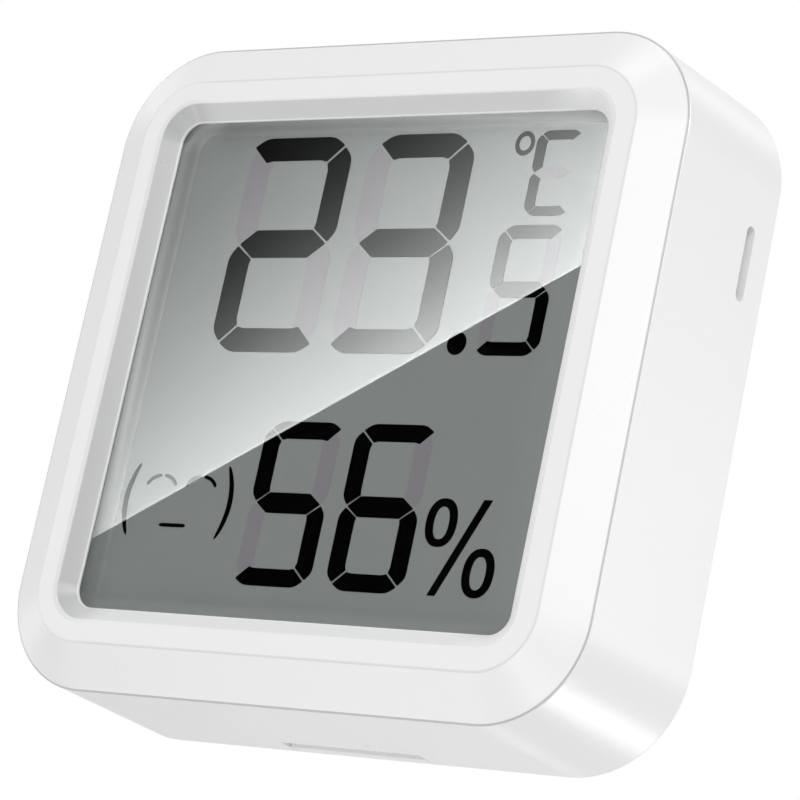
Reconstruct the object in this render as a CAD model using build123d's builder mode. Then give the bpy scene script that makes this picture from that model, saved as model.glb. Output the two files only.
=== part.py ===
"""Coin cell powered temperature and humidity sensor with a segment display.

Millimetres. +Z is up, the display faces -Y and +X is to its right. The origin is in the
middle of the footprint, at the height of the lowest edge. Depths are measured backwards
from the parting plane between the front frame and the rear housing.
"""

from build123d import *
from math import radians, tan
import os

os.makedirs("parts", exist_ok=True)

# Outer shell
front_width = 46.0
front_corner_radius = 7.08
housing_draft = 1.93
housing_wall = 1.2
rear_edge_radius = 0.25
parting_groove = 0.12
least_corner_radius = 0.5
cut_overrun = 1.0

# Raised front rim, and the slope that falls from it to the lens
chamfer_inset = 3.0
rim_height = 1.55
rim_width = 1.54
slope_inset = 1.07
slope_drop = 1.05
lip_land = 0.12
rim_outer_round = 0.2
rim_inner_round = 0.28

# Lens and display stack
lens_thickness = 0.8
lens_clearance = 0.21
lens_slack = 0.1
display_gap = 0.08
polariser_thickness = 0.15
glass_thickness = 0.5
reflector_thickness = 0.2
contact_ledge = 1.5

# Carrier behind the display, and the elastomer strip that joins display and board
carrier_wall = 0.6
carrier_clearance = 0.4
carrier_corner_inset = 5.88
carrier_slack = 0.1
carrier_floor = 1.35
carrier_window_side = 4.5
carrier_window_end = 6.5
carrier_window_radius = 0.6
strip_inset = 2.1
strip_slack = 0.1

# Main board and what is soldered to it
board_thickness = 0.8
board_corner_radius = 2.0
board_margin = 0.1
controller_size = 6.0
controller_height = 0.9
controller_across = 5.0
controller_up = 4.5
chip_marker_radius = 0.35
chip_marker_depth = 0.08
chip_marker_inset = 0.9
crystal_length = 3.2
crystal_width = 1.5
crystal_height = 0.8
crystal_across = -2.5
crystal_up = 5.0
chip_part_length = 1.6
chip_part_width = 0.8
capacitor_height = 0.8
resistor_height = 0.45
chip_part_pitch = 2.2
capacitor_count = 4
resistor_count = 3
capacitor_row_up = -3.5
resistor_row_up = -6.5

# Screws
case_boss_radius = 1.2
case_boss_slack = 0.1
case_screw_turn = 1.1
case_screw_radius = 0.5
case_screw_tip = 1.65
case_head_radius = 1.05
case_head_height = 0.7
board_screw_inset = 3.2
board_screw_radius = 0.5
board_screw_floor = 0.35
board_head_radius = 1.0
board_head_height = 0.5
screw_slack = 0.08
driver_slot_length = 1.2
driver_slot_width = 0.3
driver_slot_depth = 0.3
clamp_post_radius = 0.9
clamp_post_inset = 1.7
clamp_post_slack = 0.05

# Spigot on the front frame that locates the rear housing
spigot_thickness = 0.8
spigot_height = 1.5
spigot_slack = 0.1

# Deck of the rear housing, and the well that holds the cell
deck_thickness = 0.8
deck_slack = 0.1
cell_diameter = 20.0
cell_thickness = 3.2
cell_slack = 0.3
cell_edge_radius = 0.3
cell_can_wall = 0.25
cell_seal_width = 0.95
cell_shoulder = 0.2
well_wall = 0.8
well_drop = 0.5
well_opening_side = 1.0

# Contacts
contact_thickness = 0.25
contact_gap = 0.1
contact_rest = 0.1
contact_slot_slack = 0.3
negative_width = 3.0
negative_foot = 2.5
negative_leg_inset = 1.6
negative_reach = 5.5
positive_width = 5.0
positive_foot = 2.2
positive_flare = 0.6
positive_flare_rise = 0.7

# Unit switch and its button, beside the cell
switch_clearance = 3.4
switch_up = -9.0
switch_size = 3.0
switch_height = 1.0
switch_bore_radius = 0.85
switch_bore_depth = 0.75
plunger_slack = 0.1
plunger_lift = 0.3
plunger_sink = 0.4
button_radius = 1.2
button_flange_width = 0.5
button_flange_height = 0.4
button_play = 0.15
button_rise = 0.6
button_slack = 0.15
button_round = 0.2

# Vent slot in the right-hand wall, with the sensor behind it
vent_length = 5.1
vent_width = 0.95
vent_setback = 1.44
vent_drop = 6.57
membrane_margin = 0.7
membrane_thickness = 0.15
sensor_board_thickness = 0.6
sensor_board_height = 7.4
sensor_board_foot = 0.4
sensor_board_slack = 0.25
sensor_size = 2.2
sensor_height = 0.8
sensor_air_gap = 0.4
sensor_port_radius = 0.4
sensor_port_depth = 0.15
duct_wall = 0.7
pin_width = 0.4
pin_pitch = 1.27
pin_count = 4
pin_length_on_board = 1.3

# Back cover and the finger notch in the bottom edge
cover_thickness = 1.3
cover_slack = 0.12
cover_ledge = 0.4
cover_edge_chamfer = 0.15
cover_gap = 0.24
notch_width = 11.25
notch_gap = 1.14
notch_recess = 1.0
tab_slack = 0.1
leg_width = 3.0
leg_thickness = 0.8
leg_length = 2.4
leg_inset = 4.9
leg_slack = 0.15
pad_radius = 5.0
pad_thickness = 0.15

# Outer shell, worked out from the sizes above
front_half = front_width / 2
corner_centre = front_half - front_corner_radius
draft_slope = tan(radians(housing_draft))
bay_inset = housing_wall + cover_ledge
spigot_half = front_half - housing_wall - spigot_slack
rim_outer_half = front_half - chamfer_inset
rim_inner_half = rim_outer_half - rim_width
window_half = rim_inner_half - slope_inset

# Places of the screws, and the halves of what stands between them
case_screw_across = spigot_half - case_boss_slack - case_boss_radius
case_screw_up = corner_centre + case_screw_turn
lens_half = case_screw_across - case_boss_radius - lens_clearance
carrier_half = case_screw_across - case_boss_radius - carrier_clearance
carrier_inner = carrier_half - carrier_wall
carrier_corner_radius = front_corner_radius - carrier_corner_inset
display_half = carrier_inner - carrier_slack
ledge_bottom = display_half + contact_ledge
carrier_bottom = ledge_bottom + carrier_slack + carrier_wall
board_half = carrier_half - board_margin
board_bottom = carrier_bottom - board_margin
board_screw_across = board_half - board_screw_inset
strip_length = 2 * (display_half - strip_inset)
strip_width = contact_ledge - 3 * strip_slack

# Depths of the stack, from the lens to the back of the cover
lens_front = slope_drop + lip_land - rim_height
lens_rear = lens_front + lens_thickness
polariser_front = lens_rear + display_gap
front_glass_front = polariser_front + polariser_thickness
rear_glass_front = front_glass_front + glass_thickness
reflector_front = rear_glass_front + glass_thickness
display_rear = reflector_front + reflector_thickness
board_front = display_rear + carrier_floor
board_rear = board_front + board_thickness
switch_rear = board_rear + switch_height
plunger_rear = switch_rear + plunger_lift
flange_rear = plunger_rear + button_flange_height
deck_front = flange_rear + button_play
deck_rear = deck_front + deck_thickness
cell_front = deck_rear + contact_rest + contact_thickness + contact_gap
cell_rear = cell_front + cell_thickness
cover_front = cell_rear + cover_gap
housing_depth = cover_front + cover_thickness
rear_half = front_half + draft_slope * housing_depth
centre_height = rear_half
parting_y = rim_height - (rim_height + housing_depth) / 2

# Cell well, and what stands round it
cell_radius = cell_diameter / 2
cell_cap_radius = cell_radius - cell_can_wall - cell_seal_width
well_radius = cell_radius + cell_slack
well_rear = cell_rear - well_drop
well_opening = positive_width + 2 * well_opening_side
negative_leg_across = negative_leg_inset - cell_cap_radius
positive_leg_up = cell_radius + contact_gap + contact_thickness / 2
switch_across = -well_radius - well_wall - switch_clearance

# Sensor behind the vent slot
vent_depth = cover_front - vent_setback
vent_up = case_screw_up - vent_drop
vent_outer_half = front_half + draft_slope * vent_depth
vent_inner_half = vent_outer_half - bay_inset
sensor_board_front = board_rear - sensor_board_foot
sensor_board_rear = cover_front - sensor_board_slack
sensor_outer = vent_inner_half - membrane_thickness - sensor_air_gap
sensor_board_outer = sensor_outer - sensor_height
sensor_board_inner = sensor_board_outer - sensor_board_thickness
duct_inner = sensor_board_inner - sensor_board_slack
duct_half_height = sensor_board_height / 2 + sensor_board_slack


def facing(depth, across=0, up=0):
    """Plane that looks forward, this far behind the parting plane."""
    return Plane(
        origin=(across, parting_y + depth, centre_height + up),
        x_dir=(1, 0, 0),
        z_dir=(0, -1, 0),
    )


def housing_half(depth):
    """Half the width of the drafted housing at a depth."""
    return front_half + draft_slope * depth


def outline(half):
    """Square whose rounded corners share the centres of the shell's corners."""
    RectangleRounded(2 * half, 2 * half, max(half - corner_centre, least_corner_radius))


def between(front_depth, front_size, rear_depth, rear_size, mode=Mode.ADD):
    """Solid between two such squares, each given by its depth and half width."""
    with BuildSketch(facing(front_depth)) as front_profile:
        outline(front_size)
    with BuildSketch(facing(rear_depth)) as rear_profile:
        outline(rear_size)
    loft([front_profile.sketch, rear_profile.sketch], ruled=True, mode=mode)


def shell_block(front_depth, rear_depth, inset=0, mode=Mode.ADD):
    """Solid that follows the housing's drafted sides, drawn in by an inset."""
    with BuildSketch(facing(rear_depth)) as profile:
        outline(housing_half(rear_depth) - inset)
    extrude(profile.sketch, amount=rear_depth - front_depth, taper=housing_draft, mode=mode)


def plate(front_depth, rear_depth, half, mode=Mode.ADD):
    """Flat plate with the shell's corner centres, between two depths."""
    with BuildSketch(facing(rear_depth)) as profile:
        outline(half)
    extrude(profile.sketch, amount=rear_depth - front_depth, mode=mode)


def block(front_depth, rear_depth, left, right, bottom, top, mode=Mode.ADD):
    """Box between two depths, its sides measured from the middle of the display."""
    middle = facing(rear_depth, (left + right) / 2, (bottom + top) / 2)
    with BuildSketch(middle) as profile:
        Rectangle(right - left, top - bottom)
    extrude(profile.sketch, amount=rear_depth - front_depth, mode=mode)


def rods(front_depth, rear_depth, radius, places, mode=Mode.ADD):
    """Round rods along the depth at a list of places."""
    with BuildSketch(facing(rear_depth)) as profile:
        with Locations(*places):
            Circle(radius)
    extrude(profile.sketch, amount=rear_depth - front_depth, mode=mode)


def cross_slots(rear_depth, places):
    """Cross recesses in screw heads whose tops lie at a depth."""
    with BuildSketch(facing(rear_depth)) as profile:
        with Locations(*places):
            Rectangle(driver_slot_length, driver_slot_width)
            Rectangle(driver_slot_width, driver_slot_length)
    extrude(profile.sketch, amount=driver_slot_depth, mode=Mode.SUBTRACT)


case_screw_places = [
    (x, z) for x in (-case_screw_across, case_screw_across) for z in (-case_screw_up, case_screw_up)
]
board_screw_places = [
    (x, z)
    for x in (-board_screw_across, board_screw_across)
    for z in (-board_screw_across, board_screw_across)
]
boss_end = deck_front - deck_slack


# Front frame: chamfered rim round a sloped window, with the spigot and screw bosses behind it
with BuildPart() as front_frame:
    between(-rim_height, rim_outer_half, 0, front_half)
    between(-rim_height, rim_inner_half, slope_drop - rim_height, window_half, Mode.SUBTRACT)
    plate(slope_drop - rim_height, lens_front, window_half, Mode.SUBTRACT)
    plate(lens_front, 0, lens_half + lens_slack, Mode.SUBTRACT)
    fillet(faces().sort_by(Axis.Y)[0].inner_wires().edges(), rim_inner_round)
    fillet(faces().sort_by(Axis.Y)[0].outer_wire().edges(), rim_outer_round)
    with BuildSketch(facing(spigot_height)):
        outline(spigot_half)
        offset(amount=-spigot_thickness, mode=Mode.SUBTRACT)
    extrude(amount=spigot_height)
    rods(0, boss_end, case_boss_radius, case_screw_places)
    pilot_radius = case_screw_radius + screw_slack
    rods(case_screw_tip - screw_slack, boss_end, pilot_radius, case_screw_places, Mode.SUBTRACT)
front_frame.part.label = "front_frame"
export_step(front_frame.part, "parts/front_frame.step")

# Clear lens, seated behind the lip of the frame
with BuildPart() as window_lens:
    plate(lens_front, lens_rear, lens_half)
window_lens.part.label = "window_lens"
export_step(window_lens.part, "parts/window_lens.step")

# Display: polariser, two glasses with the contact ledge on the front one, and reflector
with BuildPart() as front_polariser:
    block(polariser_front, front_glass_front, -display_half, display_half, -display_half, display_half)
front_polariser.part.label = "front_polariser"
export_step(front_polariser.part, "parts/front_polariser.step")

with BuildPart() as front_glass:
    block(front_glass_front, rear_glass_front, -display_half, display_half, -ledge_bottom, display_half)
front_glass.part.label = "front_glass"
export_step(front_glass.part, "parts/front_glass.step")

with BuildPart() as rear_glass:
    block(rear_glass_front, reflector_front, -display_half, display_half, -display_half, display_half)
rear_glass.part.label = "rear_glass"
export_step(rear_glass.part, "parts/rear_glass.step")

with BuildPart() as rear_reflector:
    block(reflector_front, display_rear, -display_half, display_half, -display_half, display_half)
rear_reflector.part.label = "rear_reflector"
export_step(rear_reflector.part, "parts/rear_reflector.step")

# Carrier that frames the display, presses the lens forward and takes the board's screws
strip_top = -display_half - carrier_slack - strip_slack
strip_bottom = strip_top - strip_width
with BuildPart() as display_carrier:
    block(lens_rear, board_front, -carrier_half, carrier_half, -carrier_bottom, carrier_half)
    fillet(edges().filter_by(Axis.Y), carrier_corner_radius)
    pocket_bottom = -ledge_bottom - carrier_slack
    block(
        lens_rear, display_rear, -carrier_inner, carrier_inner, pocket_bottom, carrier_inner, Mode.SUBTRACT
    )
    block(
        display_rear,
        board_front,
        -strip_length / 2 - strip_slack,
        strip_length / 2 + strip_slack,
        strip_bottom - strip_slack,
        strip_top + strip_slack,
        Mode.SUBTRACT,
    )
    with BuildSketch(facing(board_front)):
        RectangleRounded(
            2 * (board_screw_across - carrier_window_side),
            2 * (board_screw_across - carrier_window_end),
            carrier_window_radius,
        )
    extrude(amount=carrier_floor, mode=Mode.SUBTRACT)
    board_pilot = board_screw_radius + screw_slack
    rods(
        display_rear + board_screw_floor - screw_slack,
        board_front,
        board_pilot,
        board_screw_places,
        Mode.SUBTRACT,
    )
display_carrier.part.label = "display_carrier"
export_step(display_carrier.part, "parts/display_carrier.step")

# Elastomer strip between the front glass's ledge and the board
with BuildPart() as contact_strip:
    block(
        rear_glass_front, board_front, -strip_length / 2, strip_length / 2, strip_bottom, strip_top
    )
contact_strip.part.label = "contact_strip"
export_step(contact_strip.part, "parts/contact_strip.step")

# Main board and its screws
with BuildPart() as main_board:
    block(board_front, board_rear, -board_half, board_half, -board_bottom, board_half)
    fillet(edges().filter_by(Axis.Y), board_corner_radius)
    rods(board_front, board_rear, board_pilot, board_screw_places, Mode.SUBTRACT)
main_board.part.label = "main_board"
export_step(main_board.part, "parts/main_board.step")

with BuildPart() as board_screws:
    board_head_rear = board_rear + board_head_height
    rods(display_rear + board_screw_floor, board_rear, board_screw_radius, board_screw_places)
    rods(board_rear, board_head_rear, board_head_radius, board_screw_places)
    cross_slots(board_head_rear, board_screw_places)
board_screws.part.label = "board_screws"
export_step(board_screws.part, "parts/board_screws.step")

# Controller with its dimple at the first pin, and the timing crystal
with BuildPart() as controller_chip:
    with BuildSketch(facing(board_rear + controller_height, controller_across, controller_up)):
        Rectangle(controller_size, controller_size)
    extrude(amount=controller_height)
    dimple = controller_size / 2 - chip_marker_inset
    with BuildSketch(
        facing(
            board_rear + controller_height, controller_across - dimple, controller_up + dimple
        )
    ):
        Circle(chip_marker_radius)
    extrude(amount=chip_marker_depth, mode=Mode.SUBTRACT)
controller_chip.part.label = "controller_chip"
export_step(controller_chip.part, "parts/controller_chip.step")

with BuildPart() as timing_crystal:
    with BuildSketch(facing(board_rear + crystal_height, crystal_across, crystal_up)):
        Rectangle(crystal_length, crystal_width)
    extrude(amount=crystal_height)
    fillet(edges().filter_by(Axis.Y), crystal_width / 4)
timing_crystal.part.label = "timing_crystal"
export_step(timing_crystal.part, "parts/timing_crystal.step")

# Rows of chip capacitors and resistors
with BuildPart() as chip_capacitors:
    with BuildSketch(facing(board_rear + capacitor_height, 0, capacitor_row_up)):
        with GridLocations(chip_part_pitch, 0, capacitor_count, 1):
            Rectangle(chip_part_width, chip_part_length)
    extrude(amount=capacitor_height)
chip_capacitors.part.label = "chip_capacitors"
export_step(chip_capacitors.part, "parts/chip_capacitors.step")

with BuildPart() as chip_resistors:
    with BuildSketch(facing(board_rear + resistor_height, 0, resistor_row_up)):
        with GridLocations(chip_part_pitch, 0, resistor_count, 1):
            Rectangle(chip_part_width, chip_part_length)
    extrude(amount=resistor_height)
chip_resistors.part.label = "chip_resistors"
export_step(chip_resistors.part, "parts/chip_resistors.step")

# Sensor board that stands behind the vent slot, with its pins, sensor and dust membrane
sensor_bottom = vent_up - sensor_board_height / 2
sensor_top = vent_up + sensor_board_height / 2
with BuildPart() as sensor_board:
    block(
        sensor_board_front,
        sensor_board_rear,
        sensor_board_inner,
        sensor_board_outer,
        sensor_bottom,
        sensor_top,
    )
sensor_board.part.label = "sensor_board"
export_step(sensor_board.part, "parts/sensor_board.step")

with BuildPart() as sensor_pins:
    pin_left = board_half - pin_length_on_board
    pin_run = sensor_board_inner - pin_left
    with BuildSketch(facing(board_rear + pin_width, pin_left + pin_run / 2, vent_up)):
        with GridLocations(0, pin_pitch, 1, pin_count):
            Rectangle(pin_run, pin_width)
    extrude(amount=pin_width)
sensor_pins.part.label = "sensor_pins"
export_step(sensor_pins.part, "parts/sensor_pins.step")

with BuildPart() as climate_sensor:
    block(
        vent_depth - sensor_size / 2,
        vent_depth + sensor_size / 2,
        sensor_board_outer,
        sensor_outer,
        vent_up - sensor_size / 2,
        vent_up + sensor_size / 2,
    )
    port_plane = Plane(
        origin=(sensor_outer, parting_y + vent_depth, centre_height + vent_up), z_dir=(1, 0, 0)
    )
    with BuildSketch(port_plane):
        Circle(sensor_port_radius)
    extrude(amount=-sensor_port_depth, mode=Mode.SUBTRACT)
climate_sensor.part.label = "climate_sensor"
export_step(climate_sensor.part, "parts/climate_sensor.step")

with BuildPart() as vent_membrane:
    block(
        vent_depth - vent_width / 2 - membrane_margin,
        vent_depth + vent_width / 2 + membrane_margin,
        vent_inner_half - membrane_thickness,
        vent_inner_half,
        vent_up - vent_length / 2 - membrane_margin,
        vent_up + vent_length / 2 + membrane_margin,
    )
vent_membrane.part.label = "vent_membrane"
export_step(vent_membrane.part, "parts/vent_membrane.step")

# Rear housing: drafted shell with the deck across it, the cell well, sensor duct and notch
seat_half = housing_half(cover_front) - housing_wall
notch_front = cover_front - notch_gap
duct_bottom = vent_up - duct_half_height
duct_top = vent_up + duct_half_height
with BuildPart() as rear_housing:
    shell_block(0, housing_depth)
    fillet(faces().sort_by(Axis.Y)[-1].edges(), rear_edge_radius)
    chamfer(faces().sort_by(Axis.Y)[0].edges(), parting_groove)
    shell_block(0, deck_front, housing_wall, Mode.SUBTRACT)
    shell_block(deck_rear, cover_front, bay_inset, Mode.SUBTRACT)
    plate(cover_front, housing_depth, seat_half, Mode.SUBTRACT)
    with BuildSketch(facing(deck_front)):
        with PolarLocations(board_half - clamp_post_inset, 4):
            Circle(clamp_post_radius)
    extrude(amount=deck_front - board_rear - clamp_post_slack)
    with BuildSketch(facing(well_rear)):
        Circle(well_radius + well_wall)
        Circle(well_radius, mode=Mode.SUBTRACT)
        with Locations((0, well_radius)):
            Rectangle(well_opening, well_radius, mode=Mode.SUBTRACT)
    extrude(amount=well_rear - deck_rear)
    block(
        deck_rear,
        sensor_board_rear,
        duct_inner - duct_wall,
        vent_inner_half + cover_ledge,
        duct_bottom - duct_wall,
        duct_top + duct_wall,
    )
    block(
        deck_front,
        sensor_board_rear,
        duct_inner,
        vent_inner_half,
        duct_bottom,
        duct_top,
        Mode.SUBTRACT,
    )
    vent_plane = Plane(
        origin=(vent_outer_half, parting_y + vent_depth, centre_height + vent_up),
        x_dir=(0, 0, 1),
        z_dir=(1, -draft_slope, 0),
    )
    with BuildSketch(vent_plane):
        SlotOverall(vent_length, vent_width)
    extrude(amount=-bay_inset - cut_overrun, mode=Mode.SUBTRACT)
    recess_top = notch_recess - housing_half(notch_front)
    notch_half = notch_width / 2
    below = -rear_half - cut_overrun
    block(notch_front, cover_front, -notch_half, notch_half, below, recess_top, Mode.SUBTRACT)
    block(cover_front, housing_depth, -notch_half, notch_half, below, 0, Mode.SUBTRACT)
    rods(
        deck_front,
        deck_rear,
        case_screw_radius + 2 * screw_slack,
        case_screw_places,
        Mode.SUBTRACT,
    )
    rods(
        deck_front,
        deck_rear,
        button_radius + button_slack,
        [(switch_across, switch_up)],
        Mode.SUBTRACT,
    )
    slot_half = contact_thickness / 2 + contact_slot_slack
    block(
        deck_front,
        deck_rear,
        negative_leg_across - slot_half,
        negative_leg_across + slot_half,
        -negative_width / 2 - contact_slot_slack,
        negative_width / 2 + contact_slot_slack,
        Mode.SUBTRACT,
    )
    block(
        deck_front,
        deck_rear,
        -positive_width / 2 - contact_slot_slack,
        positive_width / 2 + contact_slot_slack,
        positive_leg_up - slot_half,
        positive_leg_up + slot_half,
        Mode.SUBTRACT,
    )
rear_housing.part.label = "rear_housing"
export_step(rear_housing.part, "parts/rear_housing.step")

# Screws that hold housing and frame together
with BuildPart() as case_screws:
    case_head_rear = deck_rear + case_head_height
    rods(case_screw_tip, deck_rear, case_screw_radius, case_screw_places)
    rods(deck_rear, case_head_rear, case_head_radius, case_screw_places)
    cross_slots(case_head_rear, case_screw_places)
case_screws.part.label = "case_screws"
export_step(case_screws.part, "parts/case_screws.step")

# Bent strips that touch the cap and the side of the cell
foot_depth = board_rear + contact_thickness / 2
with BuildPart() as negative_contact:
    arm_depth = cell_front - contact_gap - contact_thickness / 2
    across_plane = Plane(
        origin=(0, parting_y, centre_height), x_dir=(1, 0, 0), z_dir=(0, 0, 1)
    )
    with BuildSketch(across_plane):
        with BuildLine():
            Polyline(
                (negative_leg_across - negative_foot, foot_depth),
                (negative_leg_across, foot_depth),
                (negative_leg_across, arm_depth),
                (negative_leg_across + negative_reach, arm_depth),
            )
        trace(line_width=contact_thickness)
    extrude(amount=negative_width / 2, both=True)
negative_contact.part.label = "negative_contact"
export_step(negative_contact.part, "parts/negative_contact.step")

with BuildPart() as positive_contact:
    upright_plane = Plane(
        origin=(0, parting_y, centre_height), x_dir=(0, 0, 1), z_dir=(-1, 0, 0)
    )
    flare_depth = well_rear - positive_flare_rise
    with BuildSketch(upright_plane):
        with BuildLine():
            Polyline(
                (positive_leg_up + positive_foot, foot_depth),
                (positive_leg_up, foot_depth),
                (positive_leg_up, flare_depth),
                (positive_leg_up + positive_flare, well_rear),
            )
        trace(line_width=contact_thickness)
    extrude(amount=positive_width / 2, both=True)
positive_contact.part.label = "positive_contact"
export_step(positive_contact.part, "parts/positive_contact.step")

# Coin cell: can with its flat back, the seal, and the cap with the filling
centre_place = [(0, 0)]
can_floor = cell_rear - cell_can_wall
can_inner = cell_radius - cell_can_wall
with BuildPart() as cell_can:
    rods(cell_front + cell_shoulder, cell_rear, cell_radius, centre_place)
    fillet(faces().sort_by(Axis.Y)[-1].edges(), cell_edge_radius)
    rods(cell_front + cell_shoulder, can_floor, can_inner, centre_place, Mode.SUBTRACT)
cell_can.part.label = "cell_can"
export_step(cell_can.part, "parts/cell_can.step")

with BuildPart() as cell_seal:
    rods(cell_front + cell_shoulder, can_floor, can_inner, centre_place)
    rods(
        cell_front + cell_shoulder,
        can_floor,
        cell_cap_radius,
        centre_place,
        Mode.SUBTRACT,
    )
cell_seal.part.label = "cell_seal"
export_step(cell_seal.part, "parts/cell_seal.step")

with BuildPart() as cell_cap:
    rods(cell_front, can_floor, cell_cap_radius, centre_place)
    fillet(faces().sort_by(Axis.Y)[0].edges(), cell_shoulder / 2)
cell_cap.part.label = "cell_cap"
export_step(cell_cap.part, "parts/cell_cap.step")

# Unit switch: body on the board, plunger in its bore, and the button that reaches the deck
switch_place = [(switch_across, switch_up)]
plunger_front = switch_rear - plunger_sink
with BuildPart() as switch_body:
    with BuildSketch(facing(switch_rear, switch_across, switch_up)):
        Rectangle(switch_size, switch_size)
    extrude(amount=switch_height)
    rods(
        switch_rear - switch_bore_depth,
        switch_rear,
        switch_bore_radius,
        switch_place,
        Mode.SUBTRACT,
    )
switch_body.part.label = "switch_body"
export_step(switch_body.part, "parts/switch_body.step")

with BuildPart() as switch_plunger:
    rods(plunger_front, plunger_rear, switch_bore_radius - plunger_slack, switch_place)
switch_plunger.part.label = "switch_plunger"
export_step(switch_plunger.part, "parts/switch_plunger.step")

with BuildPart() as unit_button:
    rods(plunger_rear, flange_rear, button_radius + button_flange_width, switch_place)
    rods(plunger_rear, deck_rear + button_rise, button_radius, switch_place)
    fillet(faces().sort_by(Axis.Y)[-1].edges(), button_round)
unit_button.part.label = "unit_button"
export_step(unit_button.part, "parts/unit_button.step")

# Back cover: inset plate, the tab that shows in the notch, and its locating legs
with BuildPart() as cover_tab:
    shell_block(cover_front, housing_depth)
    fillet(faces().sort_by(Axis.Y)[-1].edges(), rear_edge_radius)
    tab_half = notch_half - tab_slack
    block(
        cover_front, housing_depth, -tab_half, tab_half, below, -corner_centre, Mode.INTERSECT
    )

with BuildPart() as back_cover:
    plate(cover_front, housing_depth, seat_half - cover_slack)
    chamfer(faces().sort_by(Axis.Y)[-1].edges(), cover_edge_chamfer)
    add(cover_tab.part)
    leg_front = cover_front - leg_length
    leg_outer = housing_half(leg_front) - bay_inset - leg_slack
    with BuildSketch(facing(cover_front)):
        with GridLocations(
            2 * (corner_centre - leg_inset), 2 * leg_outer - leg_thickness, 2, 2
        ):
            Rectangle(leg_width, leg_thickness)
    extrude(amount=leg_length)
back_cover.part.label = "back_cover"
export_step(back_cover.part, "parts/back_cover.step")

# Foam pad that keeps the cell on its contacts
with BuildPart() as cell_pad:
    rods(cover_front - pad_thickness, cover_front, pad_radius, centre_place)
cell_pad.part.label = "cell_pad"
export_step(cell_pad.part, "parts/cell_pad.step")
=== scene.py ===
from math import radians

import bpy
import numpy as np
from mathutils import Matrix, Vector


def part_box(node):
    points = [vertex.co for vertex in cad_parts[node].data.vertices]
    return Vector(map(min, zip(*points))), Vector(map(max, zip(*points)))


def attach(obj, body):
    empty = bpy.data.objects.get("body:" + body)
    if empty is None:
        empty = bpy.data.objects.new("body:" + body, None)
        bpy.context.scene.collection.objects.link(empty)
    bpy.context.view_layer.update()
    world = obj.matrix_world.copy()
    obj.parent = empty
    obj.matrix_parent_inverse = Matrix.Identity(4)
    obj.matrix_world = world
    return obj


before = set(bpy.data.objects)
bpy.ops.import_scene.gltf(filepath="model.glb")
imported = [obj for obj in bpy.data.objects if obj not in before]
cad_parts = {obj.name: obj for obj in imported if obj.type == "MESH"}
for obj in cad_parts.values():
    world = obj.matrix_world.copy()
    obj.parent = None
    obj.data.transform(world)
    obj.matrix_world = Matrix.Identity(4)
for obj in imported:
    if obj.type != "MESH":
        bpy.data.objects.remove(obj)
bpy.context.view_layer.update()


# Front frame, rear housing and back cover: three mouldings of white ABS with the fine grain
# of a spark-eroded tool. Four screws hold frame and housing together, and the cover presses
# into the back.
def middle_of(node):
    """Middle of a CAD node's box."""
    low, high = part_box(node)
    return (low + high) / 2


mm = 0.001
display_middle = middle_of("window_lens")
parting_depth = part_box("rear_housing")[0].y
# How far from the display's middle the centres of the frame's corners lie, and the sides of
# its lip, its slope and its rim.
corner_centre = 15.92 * mm
lip_level = 17.47 * mm
slope_level = 18.42 * mm
rim_level = 20.0 * mm
seam_width = 0.065 * mm
grain_depth = 0.006 * mm


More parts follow.
